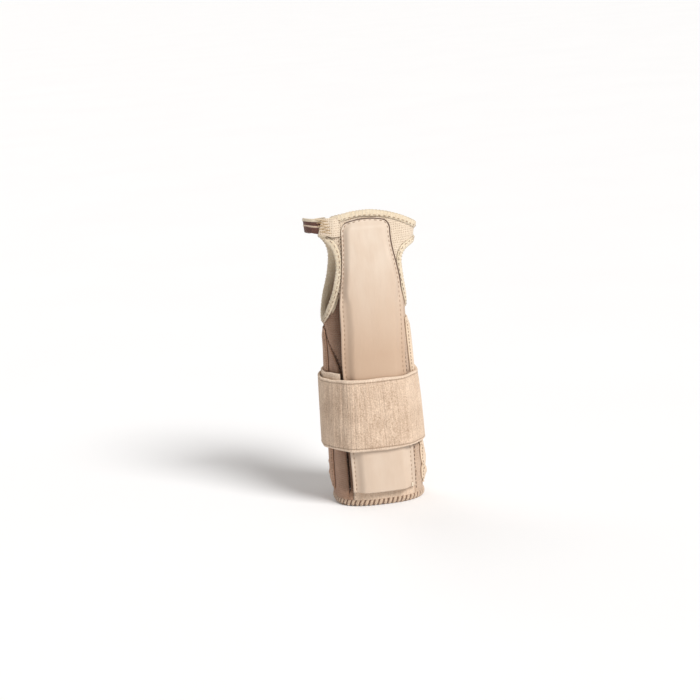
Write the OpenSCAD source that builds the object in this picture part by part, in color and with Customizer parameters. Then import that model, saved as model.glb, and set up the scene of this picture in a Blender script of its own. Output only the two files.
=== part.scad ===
// Slip-on wrist splint: an elastic and laminate sleeve with a palmar stay pocket,
// an open thumb side, two side stays and one hook-and-loop forearm strap.
// +Z runs from the forearm hem to the fingers, the palm faces -Y, the thumb is at -X.

/* [Limb] */
// Height from the forearm hem to the highest point of the palm edge
brace_h = 211.5; // [206:0.5:220]
// Width of the sleeve at the forearm hem
forearm_w = 65; // [62:0.5:70]
// Depth of the sleeve at the forearm hem
forearm_d = 55; // [52:0.5:60]
// Width of the sleeve at the wrist crease
wrist_w = 59; // [57:0.5:64]
// Depth of the sleeve at the wrist crease
wrist_d = 46; // [44:0.5:50]
// Width of the sleeve at the palm edge
palm_w = 79; // [76:0.5:84]
// Depth of the sleeve at the palm edge
palm_d = 34; // [32:0.5:38]
// Height of the wrist crease
wrist_z = 135; // [130:1:140]
// Squareness of the cross-section, where 2 is an ellipse
squareness = 2.6; // [2.4:0.1:2.8]
// Radius of the backward bend that holds the wrist cocked up
bend_r = 700; // [600:10:900]
// Height at which the bend starts
bend_z = 60; // [50:1:70]

/* [Cloth] */
// Thickness of the sleeve laminate and elastic
cloth_t = 1.8; // [1.4:0.1:2]
// Thickness of the edge binding tape
tape_t = 0.8; // [0.6:0.1:1]
// Width of the edge binding tape on each face
tape_w = 3.5; // [3:0.1:3.8]
// Height of the rolled forearm hem
hem_h = 5.5; // [4.5:0.5:6]
// Thickness of the foam pad in the palm
pad_t = 1.4; // [1:0.1:2]

/* [Pocket] */
// Width of the stay pocket over the forearm
pocket_w = 42.4; // [41:0.2:43]
// Width of the stay pocket in the palm
pocket_palm_w = 32.4; // [31:0.2:33]
// Sideways shift of the pocket over the wrist, toward the little finger
pocket_shift = 2; // [1.4:0.1:2.4]
// Height of the open pocket mouth
pocket_mouth_z = 11; // [9:0.5:13]
// Height of the rounded pocket top
pocket_top_z = 207; // [204:1:208]
// Thickness of the pocket cover
cover_t = 1; // [0.8:0.1:1.2]

/* [Palmar stay] */
// Width of the aluminium stay over the forearm
stay_w = 24; // [20:1:25]
// Width of the aluminium stay in the palm
stay_palm_w = 18; // [16:1:19]
// Thickness of the aluminium stay
stay_t = 1.4; // [1.2:0.1:1.4]
// Lowest height of the stay
stay_low_z = 14; // [12:1:20]
// Highest height of the stay
stay_top_z = 196; // [190:1:198]

/* [Strap] */
// Width of the forearm strap
strap_w = 52; // [48:0.5:53]
// Thickness of the forearm strap
strap_t = 1.8; // [1.5:0.1:1.9]
// Lowest height of the forearm strap
strap_z = 43; // [40:1:46]

/* [Side stays] */
// Height of the top of the thumb side stay casing
casing_top_z = 129; // [124:1:130]
// Width of the side stays, as degrees round the limb
side_stay_arc = 13; // [11:1:15]

/* [Hidden] */

// Palmar skin line at the start of the bend, set so that the whole part is centred on the origin
front_y = -26.1;
// Sideways place of the sleeve's middle, set for the same reason, and how far the wrist
// and the palm edge stand to one side of it
middle_x = -0.96;
wrist_aside = -1.5;
palm_aside = 1.8;

// Offsets from the outer face of the sleeve
gap = 0.3;
tape_gap = 0.25;
stay_in = 0.9;
hem_out = 0.35;
pad_out = -cloth_t - gap;

// Seams between the panels
seam_x = 23;
seam_half_gap = 0.15;
panel_low_z = hem_h + 0.2;
radial_corner = 63;
ulnar_corner = 62;
// A panel's edge stands this far back from its bound edge, in height and in bearing
set_back = 0.8;
set_back_arc = 1.6;

// Openings as [middle bearing, half arc, middle height, half height, skew of both ends]
thumb_opening = [-90, 40, 167.5, 31, 6.5];
ulnar_opening = [90, 34, 164, 22, 8];
thumb_binding_ends = [-230, 51];

// Top edge
arch_peak_x = -1;
arch_drop = 0.008;
dorsal_top_z = 206;

// Web strap: its heights at the side, how much lower its low edge is on the palm,
// and how much lower and further out it is where it is sewn over the back's binding
web_z = [199.2, 208.8];
web_ends = [-128, -52];
web_flare = 1.3;
web_dip = 3.8;
web_over = tape_gap + tape_t + 0.1;

// Casings as [middle bearing, half arc, top height]
radial_casing = [-100, 18, casing_top_z];
ulnar_casing = [80, 18, casing_top_z + 4];
casing_low_z = 10;
casing_rise = 1.25;
casing_t = 0.7;

// Strap stations round the limb, as bearings
strap_start = -54;
corner_front = 57;
corner_back = 135;
tab_end = 165;
hinge_gap = 0.8;
pass_gap = 0.75;
hook_t = 1;

cream = [0.91, 0.86, 0.77];
beige = [0.86, 0.77, 0.68];
taupe = [0.64, 0.53, 0.46];
webbing = [0.45, 0.36, 0.31];

function mix(a, b, t) = a + (b - a) * t;
function clamp(t) = min(max(t, 0), 1);
function ease(t) = let (c = clamp(t)) c * c * (3 - 2 * c);

// Sleeve sections: half width, half depth and palmar line at a height
function along(z, forearm, wrist, palm) = z < wrist_z
    ? mix(forearm, wrist, ease(z / wrist_z))
    : mix(wrist, palm, ease((z - wrist_z) / (brace_h - wrist_z)));
function half_w(z) = along(z, forearm_w, wrist_w, palm_w) / 2;
function half_d(z) = along(z, forearm_d, wrist_d, palm_d) / 2;
function middle(z) = middle_x + along(z, 0, wrist_aside, palm_aside);
function palm_line(z) = front_y + bend_r - sqrt(bend_r * bend_r - pow(z - bend_z, 2));

// Point at a bearing round the limb, a height and an offset from the sleeve's outer face.
// Bearing 0 is the palm, 90 the little finger side, 180 the back and -90 the thumb side.
function skin(bearing, z, d) =
    let (
        a = half_w(z) + d,
        b = half_d(z) + d,
        n = squareness,
        r = pow(pow(abs(sin(bearing)) / a, n) + pow(abs(cos(bearing)) / b, n), -1 / n)
    )
    [middle(z) + r * sin(bearing), palm_line(z) + half_d(z) - r * cos(bearing), z];

// Bearing of a palmar point at a distance to one side
function bearing_at(x, z) = atan2(x,
    half_d(z) * pow(1 - pow(abs(x) / half_w(z), squareness), 1 / squareness));

// Height of the top edge at a bearing
function top_edge(bearing) =
    let (
        x = skin(bearing, brace_h, 0)[0] - middle(brace_h),
        side_z = brace_h - arch_drop * pow(half_w(brace_h) - arch_peak_x, 2)
    )
    cos(bearing) >= 0
        ? brace_h - arch_drop * pow(x - arch_peak_x, 2)
        : mix(dorsal_top_z, side_z, pow(x / half_w(brace_h), 2));

function cloth_top(bearing) = top_edge(bearing) - set_back;

// Opening outline: a point at an angle, its low and high edge at a bearing,
// and how far its edge is from the middle of the palm or the back at a height
function rim(op, t) = [op[0] + op[1] * cos(t), op[2] + op[3] * sin(t) + op[4] * pow(cos(t), 2)];
function rim_z(op, bearing, side) =
    let (c = min(abs(bearing - op[0]) / (op[1] + set_back_arc), 1))
    op[2] + side * (op[3] + set_back) * sqrt(1 - c * c) + op[4] * c * c;
function rim_arc(op, z) =
    let (
        h = op[3] + set_back,
        s = op[4],
        q = (h - sqrt(max(h * h - 4 * s * (z - op[2] - s), 0))) / (2 * s)
    )
    abs(q) >= 1 ? 90 : 90 - (op[1] + set_back_arc) * sqrt(1 - q * q);
function panel_arc(op, corner, z) =
    min(rim_arc(op, z), z < op[2] ? bearing_at(seam_x, z) : corner) - seam_half_gap;

// Closed solid between two grids of points. Seen from the front grid's side,
// columns run to the right and rows run up. A looped solid joins its last row to its first.
module shell(back, front, looped = false) {
    rows = len(back);
    cols = len(back[0]);
    half = rows * cols;
    last = looped ? rows - 1 : rows - 2;
    points = [for (grid = [back, front]) for (row = grid) for (p = row) p];
    function at(side, j, i) = side * half + (j % rows) * cols + i;
    function quad(a, b, c, d) = [[a, b, c], [a, c, d]];
    faces = [
        for (j = [0:last]) for (i = [0:cols - 2]) each concat(
            quad(at(1, j, i), at(1, j + 1, i), at(1, j + 1, i + 1), at(1, j, i + 1)),
            quad(at(0, j, i), at(0, j, i + 1), at(0, j + 1, i + 1), at(0, j + 1, i))
        ),
        for (j = [0:last]) each concat(
            quad(at(1, j + 1, 0), at(1, j, 0), at(0, j, 0), at(0, j + 1, 0)),
            quad(at(1, j, cols - 1), at(1, j + 1, cols - 1), at(0, j + 1, cols - 1), at(0, j, cols - 1))
        ),
        if (!looped) for (i = [0:cols - 2]) each concat(
            quad(at(1, 0, i), at(1, 0, i + 1), at(0, 0, i + 1), at(0, 0, i)),
            quad(at(1, rows - 1, i + 1), at(1, rows - 1, i), at(0, rows - 1, i), at(0, rows - 1, i + 1))
        )
    ];
    polyhedron(points, faces, convexity = 8);
}

// Piece of cloth: place(u, v) gives its bearing and height, low(u, v) and high(u, v)
// give the offsets of its two faces. Bearings grow with u and heights grow with v.
module cloth(place, low, high, cols, rows) {
    function grid(offset) = [for (j = [0:rows]) [for (i = [0:cols])
        let (u = i / cols, v = j / rows, p = place(u, v)) skin(p[0], p[1], offset(u, v))]];
    shell(grid(low), grid(high));
}

// Tape folded over an edge. path(t) gives the edge as bearing and height; the cloth
// lies to the left of the path's direction, as seen from outside.
module folded_tape(path, ends, steps, looped = false) {
    low = -cloth_t - tape_gap;
    high = tape_gap;
    fold = [0.1, -cloth_t / 2];
    outside = [[tape_w, high + tape_t], [0.2 - tape_t, high + tape_t],
        [fold[0] - 1.5 * tape_t, fold[1]], [0.2 - tape_t, low - tape_t], [tape_w, low - tape_t]];
    inside = [[tape_w, high], [fold[0], high], fold, [fold[0], low], [tape_w, low]];
    function place(t, w, d) =
        let (
            p = path(t),
            before = path(t - 1),
            after = path(t + 1),
            run = skin(after[0], after[1], 0) - skin(before[0], before[1], 0),
            across = (skin(p[0] + 1, p[1], 0) - skin(p[0] - 1, p[1], 0)) / 2,
            up = (skin(p[0], p[1] + 1, 0) - skin(p[0], p[1] - 1, 0)) / 2,
            side = cross(run, cross(across, up)),
            inward = side / norm(side)
        )
        skin(p[0] + w * (inward * across) / (across * across),
            p[1] + w * (inward * up) / (up * up), d);
    count = looped ? steps - 1 : steps;
    function grid(section) = [for (j = [0:count])
        [for (s = section) place(mix(ends[0], ends[1], j / steps), s[0], s[1])]];
    shell(grid(inside), grid(outside), looped);
}

// Rows of a tall panel, closer together toward the palm
function panel_z(v, top) = mix(panel_low_z, top, pow(v, 0.7));

module palm_panel() {
    color(cream) cloth(
        function (u, v) let (
            z = panel_z(v, cloth_top(mix(-radial_corner, ulnar_corner, u)))
        ) [mix(-panel_arc(thumb_opening, radial_corner, z), panel_arc(ulnar_opening, ulnar_corner, z), u), z],
        function (u, v) -cloth_t, function (u, v) 0, 20, 26);
}

module dorsal_panel() {
    color(taupe) cloth(
        function (u, v) let (
            z = panel_z(v, cloth_top(180 + mix(-ulnar_corner, radial_corner, u)))
        ) [180 + mix(-panel_arc(ulnar_opening, ulnar_corner, z),
            panel_arc(thumb_opening, radial_corner, z), u), z],
        function (u, v) -cloth_t, function (u, v) 0, 20, 26);
}

// Seam between the thumb side gusset and the side panel: a narrow strip low down
// that fans out to the middle of the side below the thumb opening
function gusset_seam(z) = mix(bearing_at(seam_x, z) + 6, 90, ease((z - 98) / 36));

module radial_gusset() {
    color(taupe) cloth(
        function (u, v) let (
            z = mix(panel_low_z, rim_z(thumb_opening, -mix(90, 52, u), -1), v),
            outer = gusset_seam(z) - 0.5,
            inner = bearing_at(seam_x, z) + 0.3
        ) [-mix(outer, inner, u), z],
        function (u, v) -cloth_t, function (u, v) 0, 7, 18);
}

module radial_side_panel() {
    color(taupe) cloth(
        function (u, v) let (
            z = mix(panel_low_z, rim_z(thumb_opening, -mix(128, 90, u), -1), v),
            outer = 180 - bearing_at(seam_x, z) - 0.3
        ) [-mix(outer, gusset_seam(z) + 0.5, u), z],
        function (u, v) -cloth_t, function (u, v) 0, 13, 16);
}

module ulnar_gusset() {
    color(taupe) cloth(
        function (u, v) let (
            across = (1 - cos(180 * u)) / 2,
            z = mix(panel_low_z, rim_z(ulnar_opening, mix(58.5, 121.5, across), -1), v),
            inner = bearing_at(seam_x, z) + 0.3
        ) [mix(inner, 180 - inner, across), z],
        function (u, v) -cloth_t, function (u, v) 0, 16, 18);
}

module ulnar_band() {
    color(cream) cloth(
        function (u, v) let (bearing = mix(ulnar_corner + 0.3, 180 - ulnar_corner - 0.3, u))
            [bearing, mix(rim_z(ulnar_opening, bearing, 1), cloth_top(bearing), v)],
        function (u, v) -cloth_t, function (u, v) 0, 10, 4);
}

module web_strap() {
    web_t = 1.5;
    function back(b) = ease((-b - 84) / 30);
    function bearing(u) = mix(web_ends[0], web_ends[1], u);
    function low(u) = gap + web_over * ease((-bearing(u) - 104) / 8);
    color(webbing) cloth(
        function (u, v) let (
            b = bearing(u),
            low_z = web_z[0] - web_flare * ease((b + 82) / 20)
        ) [b, mix(low_z, web_z[1], v) - web_dip * back(b)],
        function (u, v) low(u), function (u, v) low(u) + web_t, 18, 3);
}

module palm_pad() {
    pad_margin = 14;
    color("dimgray") cloth(
        function (u, v) let (z = mix(150, 204, v))
            [mix(-panel_arc(thumb_opening, radial_corner, z) + pad_margin,
                panel_arc(ulnar_opening, ulnar_corner, z) - pad_margin, u), z],
        function (u, v) pad_out - pad_t, function (u, v) pad_out, 8, 10);
}

// Pocket outline: middle and half width at a height, with rounded top corners
pocket_corner_r = 9;
function pocket_mid(z) = pocket_shift * ease((z - 100) / 36) * (1 - ease((z - 160) / 36));
function pocket_half(z) =
    let (rise = max(z - (pocket_top_z - pocket_corner_r), 0) / pocket_corner_r)
    mix(pocket_w, pocket_palm_w, ease((z - 146) / 50)) / 2 - pocket_corner_r * (1 - sqrt(1 - rise * rise));

module pocket_cover() {
    edge_d = 0.35;
    crown = 3.45;
    hem_fold = 0.9;
    closing = 7;
    function z_at(v) = mix(pocket_mouth_z, pocket_top_z, sin(90 * v));
    function room(u, v) = (1 - pow(abs(2 * u - 1), 6)) * ease((pocket_top_z - z_at(v)) / closing);
    color(beige) cloth(
        function (u, v) let (z = z_at(v))
            [bearing_at(pocket_mid(z) + pocket_half(z) * (2 * u - 1), z), z],
        function (u, v) edge_d + crown * room(u, v),
        function (u, v) edge_d + crown * room(u, v) + cover_t + hem_fold * (1 - room(u, v)), 12, 20);
}

module palm_edge_binding() {
    color("ivory") folded_tape(function (t) [t, top_edge(t)], [89.5, -50], 34);
}

module dorsal_edge_binding() {
    color("ivory") folded_tape(function (t) [t, top_edge(t)], [231, 90.5], 34);
}

module thumb_opening_binding() {
    color("ivory") folded_tape(function (t) rim(thumb_opening, t),
        [thumb_binding_ends[1], thumb_binding_ends[0]], 44);
}

module ulnar_opening_binding() {
    color("ivory") folded_tape(function (t) rim(ulnar_opening, t), [360, 0], 44, looped = true);
}

// Outline of the sleeve at the hem, grown by an offset
module hem_outline(grow) {
    polygon([for (t = [0:6:354]) let (p = skin(t, hem_h / 2, grow)) [p[0], p[1]]]);
}

module hem_binding() {
    color("ivory") linear_extrude(hem_h) difference() {
        hem_outline(hem_out);
        hem_outline(-cloth_t - 0.5);
    }
}

module stay_casing(casing) {
    function arch(u) = 0.15 + casing_rise * (1 - pow(abs(2 * u - 1), 4));
    color(taupe) cloth(
        function (u, v) [casing[0] + casing[1] * (2 * u - 1), mix(casing_low_z, casing[2], v)],
        function (u, v) arch(u) + 0.1, function (u, v) arch(u) + 0.1 + casing_t, 8, 10);
}

// Length of a side stay or of its tip between two heights
module side_strip(casing, low_z, high_z, low_d, high_d, rows) {
    cloth(
        function (u, v) [casing[0] + side_stay_arc * (u - 0.5), mix(low_z, high_z, v)],
        function (u, v) low_d, function (u, v) high_d, 2, rows);
}

tip_len = 5;
tip_in = 4;
function side_stay_z(casing) = [casing_low_z + tip_in + tip_len, casing[2] - tip_in - tip_len];

module side_stay(casing) {
    z = side_stay_z(casing);
    color("silver") side_strip(casing, z[0], z[1], 0.35, 1.15, 9);
}

module side_stay_tips() {
    for (casing = [radial_casing, ulnar_casing]) let (z = side_stay_z(casing)) color("white") {
        side_strip(casing, z[0] - tip_len, z[0] - 0.1, 0.3, 1.2, 1);
        side_strip(casing, z[1] + 0.1, z[1] + tip_len, 0.3, 1.2, 1);
    }
}

// The palmar stay is a bar rolled to the bend's own radius, so that it can slide
// along the pocket. Its outline has round ends and a narrower palm end.
stay_mid_x = 0;
stay_step_z = 150;
module stay_bar(width, low_z, high_z) {
    for (z = [low_z + width / 2, high_z - width / 2]) translate([0, z]) circle(d = width, $fn = 64);
    translate([-width / 2, low_z + width / 2]) square([width, high_z - low_z - width]);
}

module palmar_stay() {
    margin = 4;
    low = asin((stay_low_z - margin - bend_z) / bend_r);
    high = asin((stay_top_z + margin - bend_z) / bend_r);
    color("lightsteelblue") translate([middle_x + stay_mid_x, 0, 0]) intersection() {
        translate([0, front_y + bend_r, bend_z])
            rotate([90, 0, -90]) rotate([0, 0, low])
            rotate_extrude(angle = high - low, $fn = 360)
            translate([bend_r + stay_in, -stay_w]) square([stay_t, 2 * stay_w]);
        rotate([90, 0, 0]) linear_extrude(2 * forearm_d, center = true) {
            stay_bar(stay_w, stay_low_z, stay_step_z);
            stay_bar(stay_palm_w, stay_low_z + stay_w, stay_top_z);
        }
    }
}

// Strap run between two bearings, whose inner face follows lift(bearing)
module strap_run(from, to, lift, cols, thick = strap_t) {
    cloth(
        function (u, v) [mix(from, to, u), mix(strap_z, strap_z + strap_w, v)],
        function (u, v) lift(mix(from, to, u)), function (u, v) lift(mix(from, to, u)) + thick, cols, 5);
}

// Offset of the strap's first pass: close to the cloth, and raised over the side stay casings
function over(bearing, casing) = 1 - ease((abs(bearing - casing[0]) - casing[1]) / 14);
function first_lift(bearing) = 0.35 + 2.15 * max(over(bearing, radial_casing),
    over(bearing + 360, ulnar_casing));
function front_lift(bearing) = mix(5.3, 2.6, ease((abs(bearing) - 32) / 22));
function second_lift(bearing) = first_lift(bearing) + strap_t + pass_gap;
function tab_lift(bearing) = second_lift(bearing) + (hook_t + gap) * ease((-corner_back - bearing) / 6);

module strap_fixed_run() {
    color(beige) strap_run(corner_front - 360 + hinge_gap, strap_start,
        function (b) first_lift(b), 32);
}

module strap_front_run() {
    color(beige) strap_run(-corner_front + hinge_gap, corner_front - hinge_gap,
        function (b) front_lift(b), 16);
}

module strap_radial_run() {
    color(beige) strap_run(-corner_back + hinge_gap, -corner_front - hinge_gap,
        function (b) second_lift(b), 10);
}

module strap_tab_run() {
    color(beige) strap_run(-tab_end, -corner_back - hinge_gap, function (b) tab_lift(b), 6);
}

module hook_tab() {
    color("white") strap_run(-tab_end + 1, -corner_back - 7.5,
        function (b) second_lift(b) - 0.05, 4, hook_t);
}

module strap_end_binding() {
    color("ivory") strap_run(-tab_end - 5, -tab_end - 0.2,
        function (b) tab_lift(b) - 0.5, 2, strap_t + 1);
}

palm_panel();
dorsal_panel();
radial_gusset();
radial_side_panel();
ulnar_gusset();
ulnar_band();
web_strap();
palm_pad();
pocket_cover();
palm_edge_binding();
dorsal_edge_binding();
thumb_opening_binding();
ulnar_opening_binding();
hem_binding();
stay_casing(radial_casing);  // radial_stay_casing
stay_casing(ulnar_casing);  // ulnar_stay_casing
side_stay(radial_casing);  // radial_side_stay
side_stay(ulnar_casing);  // ulnar_side_stay
side_stay_tips();
palmar_stay();
strap_fixed_run();
strap_front_run();
strap_radial_run();
strap_tab_run();
hook_tab();
strap_end_binding();
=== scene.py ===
"""Wrist splint: the looks. Its lengths are in millimetres, and become metres where a mesh is made.
The stage, lights and camera are in metres."""
import math

import bpy
import numpy as np
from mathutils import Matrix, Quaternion, Vector


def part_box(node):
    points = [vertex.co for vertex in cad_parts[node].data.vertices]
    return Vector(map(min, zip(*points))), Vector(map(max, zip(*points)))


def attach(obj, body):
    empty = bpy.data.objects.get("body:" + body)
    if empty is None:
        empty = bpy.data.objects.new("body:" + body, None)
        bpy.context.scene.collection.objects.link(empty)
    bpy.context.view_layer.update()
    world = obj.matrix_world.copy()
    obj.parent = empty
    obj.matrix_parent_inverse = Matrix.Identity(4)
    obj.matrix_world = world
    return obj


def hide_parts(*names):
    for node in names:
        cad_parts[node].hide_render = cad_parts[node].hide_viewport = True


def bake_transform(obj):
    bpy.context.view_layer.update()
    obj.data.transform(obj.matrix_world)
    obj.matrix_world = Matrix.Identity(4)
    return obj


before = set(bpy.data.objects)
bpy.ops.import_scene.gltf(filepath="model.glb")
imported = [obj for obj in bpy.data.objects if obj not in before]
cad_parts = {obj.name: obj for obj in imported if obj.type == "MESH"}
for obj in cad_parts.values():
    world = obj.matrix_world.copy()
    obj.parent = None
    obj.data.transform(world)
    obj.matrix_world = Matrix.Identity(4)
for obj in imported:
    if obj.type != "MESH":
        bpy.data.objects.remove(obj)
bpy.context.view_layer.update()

MM = 0.001
TAU = 2 * math.pi

# ---------------------------------------------------------------- dimensions
# The sleeve's sections, as in the part's own source: forearm, wrist and palm.
BRACE_H, WRIST_Z = 211.5, 135.0
WIDTHS = (65.0, 59.0, 79.0)
DEPTHS = (55.0, 46.0, 34.0)
SQUARENESS = 2.6
BEND_R, BEND_Z = 700.0, 60.0
FRONT_Y, MIDDLE_X = -26.1, -0.96
ASIDE = (0.0, -1.5, 1.8)
CLOTH_T = 1.8
SEAM_X = 23.0
RADIAL_CORNER, ULNAR_CORNER = 63.0, 62.0
# Openings: middle bearing, half arc, middle height, half height, skew of both ends
THUMB = (-90.0, 40.0, 167.5, 31.0, 6.5)
ULNAR = (90.0, 34.0, 164.0, 22.0, 8.0)
ARCH_PEAK_X, ARCH_DROP, DORSAL_TOP_Z = -1.0, 0.008, 206.0
HEM_H = 5.5
CORNER_FRONT, CORNER_BACK, TAB_END = 57.0, 135.0, 165.0
STRAP_T, PASS_GAP, HOOK_T = 1.8, 0.75, 1.0
RADIAL_CASING, ULNAR_CASING = (-100.0, 18.0, 129.0), (80.0, 18.0, 133.0)
CASING_LOW_Z = 10.0


def node_z(node):
    """Lowest and highest height of a CAD node, in millimetres."""
    low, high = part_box(node)
    return low[2] / MM, high[2] / MM


STRAP_LOW_Z, STRAP_TOP_Z = node_z("strap_front_run")
POCKET_LOW_Z, POCKET_TOP_Z = node_z("pocket_cover")


# ---------------------------------------------------------------- the sleeve's surface
def mix(a, b, t):
    return a + (b - a) * t


def ease(t):
    t = np.clip(t, 0, 1)
    return t * t * (3 - 2 * t)


def along(z, sizes):
    forearm, wrist, palm = sizes
    low = mix(forearm, wrist, ease(z / WRIST_Z))
    high = mix(wrist, palm, ease((z - WRIST_Z) / (BRACE_H - WRIST_Z)))
    return np.where(z < WRIST_Z, low, high) / 2


def middle(z):
    return MIDDLE_X + 2 * along(z, ASIDE)


def palm_line(z):
    return FRONT_Y + BEND_R - np.sqrt(BEND_R**2 - (z - BEND_Z) ** 2)


def limb(bearing, z, d):
    """Points at a bearing in degrees, a height and an offset from the sleeve's outer face."""
    bearing, z, d = np.broadcast_arrays(
        np.asarray(bearing, float), np.asarray(z, float), np.asarray(d, float)
    )
    a, b = along(z, WIDTHS) + d, along(z, DEPTHS) + d
    s, c = np.sin(np.radians(bearing)), np.cos(np.radians(bearing))
    r = ((np.abs(s) / a) ** SQUARENESS + (np.abs(c) / b) ** SQUARENESS) ** (-1 / SQUARENESS)
    return np.stack([middle(z) + r * s, palm_line(z) + along(z, DEPTHS) - r * c, z], -1)


def bearing_at(x, z):
    """Bearing of a palmar point at a distance to one side."""
    share = np.clip(np.abs(x) / along(z, WIDTHS), 0, 0.999)
    return np.degrees(np.arctan2(x, along(z, DEPTHS) * (1 - share**SQUARENESS) ** (1 / SQUARENESS)))


def top_edge(bearing):
    half = WIDTHS[2] / 2
    x = limb(bearing, BRACE_H, 0)[..., 0] - middle(BRACE_H)
    side_z = BRACE_H - ARCH_DROP * (half - ARCH_PEAK_X) ** 2
    palmar = BRACE_H - ARCH_DROP * (x - ARCH_PEAK_X) ** 2
    dorsal = mix(DORSAL_TOP_Z, side_z, (x / half) ** 2)
    return np.where(np.cos(np.radians(bearing)) >= 0, palmar, dorsal)


def rim(op, t):
    """Bearing and height of an opening's edge at an angle in degrees."""
    t = np.radians(t)
    return op[0] + op[1] * np.cos(t), op[2] + op[3] * np.sin(t) + op[4] * np.cos(t) ** 2


def rim_z(op, bearing, side):
    c = np.minimum(np.abs(bearing - op[0]) / op[1], 1)
    return op[2] + side * op[3] * np.sqrt(1 - c * c) + op[4] * c * c


def rim_arc(op, z):
    """Bearing from the middle of the palm, or of the back, to an opening's edge at a height."""
    h, s = op[3], op[4]
    q = (h - np.sqrt(np.maximum(h * h - 4 * s * (z - op[2] - s), 0))) / (2 * s)
    return np.where(np.abs(q) >= 1, 90, 90 - op[1] * np.sqrt(np.clip(1 - q * q, 0, 1)))


def panel_arc(op, corner, z):
    """Bearing from a panel's middle to its edge: up the seam, then round the opening."""
    return np.minimum(rim_arc(op, z), mix(bearing_at(SEAM_X, z), corner, ease((z - op[2] + 1.4) / 14)))


POCKET_W, POCKET_PALM_W, POCKET_SHIFT, POCKET_CORNER_R = 42.4, 32.4, 2.0, 9.0


def pocket_mid(z):
    return POCKET_SHIFT * ease((z - 100) / 36) * (1 - ease((z - 160) / 36))


def pocket_half(z):
    rise = np.clip(z - (POCKET_TOP_Z - POCKET_CORNER_R), 0, POCKET_CORNER_R) / POCKET_CORNER_R
    width = mix(POCKET_W, POCKET_PALM_W, ease((z - 146) / 50))
    return width / 2 - POCKET_CORNER_R * (1 - np.sqrt(1 - rise**2))


rng = np.random.default_rng(11)
# Gentle ripples: waves round the limb, turn for each mm up it, phase and height of the wave in mm
RIPPLES = [
    (int(rng.integers(1, 6)), rng.uniform(0.02, 0.16), rng.uniform(0, TAU), rng.uniform(0.04, 0.11))
    for _ in range(14)
]
# Diagonal folds above the hem, the deepest on the little finger side: bearing and height of the
# fold's middle, its slope in mm a degree, its reach in degrees and how far it stands out in mm
HEM_FOLDS = [
    (60, 27, -1.15, 13, 0.9), (58, 15, -0.62, 15, 0.9), (69, 33, -0.95, 12, 0.8), (74, 18, -0.75, 13, 0.9),
    (86, 26, -0.7, 13, 0.7), (-96, 30, 0.22, 20, 0.5), (-104, 20, 0.26, 22, 0.6),
    (150, 30, 0.2, 22, 0.7), (205, 24, -0.24, 24, 0.8), (190, 14, 0.12, 26, 0.6),
]


def relief(bearing, z):
    """How far the cloth stands in or out of its smooth shape, the same for every layer of the sleeve."""
    b = (np.asarray(bearing, float) + 180) % 360 - 180
    z = np.asarray(z, float)
    wave = sum(a * np.sin(n * np.radians(b) + k * z + p) for n, k, p, a in RIPPLES)
    wave = wave * ease((np.abs(b) - 26) / 30)
    fold = 0
    for middle, height, slope, reach, size in HEM_FOLDS:
        away = (b - (middle + 180) % 360 + 180 + 180) % 360 - 180
        line = (z - height - slope * away) / 1.5
        fold = fold + size * (1 - 0.5 * line) * np.exp(-(line**2) - (away / reach) ** 2)
    fold = fold * ease((z - 6) / 5) * ease((STRAP_LOW_Z + 2 - z) / 6)
    squeeze = -0.35 * np.exp(-(((z - (STRAP_LOW_Z + STRAP_TOP_Z) / 2) / 30) ** 4))
    return (wave + fold + squeeze * ease((np.abs(b) - 40) / 20)) * ease(z / 6)


def sleeve(bearing, z, d):
    return limb(bearing, z, d + relief(bearing, z))


# The fold beside the pocket: degrees to its deepest line and over which it fades, and its depth in mm
GROOVE_OUT, GROOVE_W, GROOVE_DEPTH = 6.0, 24.0, 2.6


def groove_share(bearing, z):
    """From 0 to 1 in the fold beside the pocket's thumb side edge. It draws the cloth in, and also gives
    painted shade there.
    """
    b, z = np.asarray(bearing, float), np.asarray(z, float)
    away = bearing_at(pocket_mid(z) - pocket_half(z), z) - b
    outer = np.exp(-((np.maximum(away - GROOVE_OUT, 0) / GROOVE_W) ** 2))
    return ease(away / GROOVE_OUT) * outer * (1 - ease((z - 150) / 9)) * ease((z - 6) / 8)


def sunk(bearing, z, d):
    """The thumb side's cloth, drawn in along the pocket's edge."""
    return sleeve(bearing, z, d - GROOVE_DEPTH * groove_share(bearing, z))


# ---------------------------------------------------------------- mesh helpers
FAR = 1e9


def make_object(name, points, faces, material, cloth=None, sharp=None):
    """One closed mesh, its points given in millimetres."""
    points = np.asarray(points, float)
    corners = [(f[0], f[i], f[i + 1]) for f in faces for i in range(1, len(f) - 1)]
    a, b, c = (points[np.array(corners)[:, k]] for k in range(3))
    if np.sum(a * np.cross(b, c)) < 0:
        faces = [face[::-1] for face in faces]
    mesh = bpy.data.meshes.new(name)
    mesh.from_pydata((points * MM).tolist(), [], faces)
    mesh.update()
    if cloth is not None:
        held = mesh.attributes.new("cloth", "FLOAT_VECTOR", "POINT")
        held.data.foreach_set("vector", np.asarray(cloth, np.float32).ravel())
    mesh.polygons.foreach_set("use_smooth", np.ones(len(mesh.polygons), bool))
    if sharp is not None:
        keys = {tuple(sorted(e)) for e in sharp}
        edge = mesh.attributes.new("sharp_edge", "BOOLEAN", "EDGE")
        edge.data.foreach_set("value", [tuple(sorted(e.vertices)) in keys for e in mesh.edges])
    mesh.materials.append(material)
    piece = bpy.data.objects.new(name, mesh)
    bpy.context.scene.collection.objects.link(piece)
    return piece


def stations(length, step, soft=0.9):
    """Places from 0 to 1 along a length, closer together at both ends, where an edge is rounded."""
    near = np.array([0, 0.06, 0.25, 0.6, 1.0]) * soft
    count = max(int(round((length - 2 * soft) / step)), 2)
    inner = np.linspace(soft, length - soft, count + 1)
    return np.concatenate([near, inner[1:-1], (length - near)[::-1]]) / length


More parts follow.
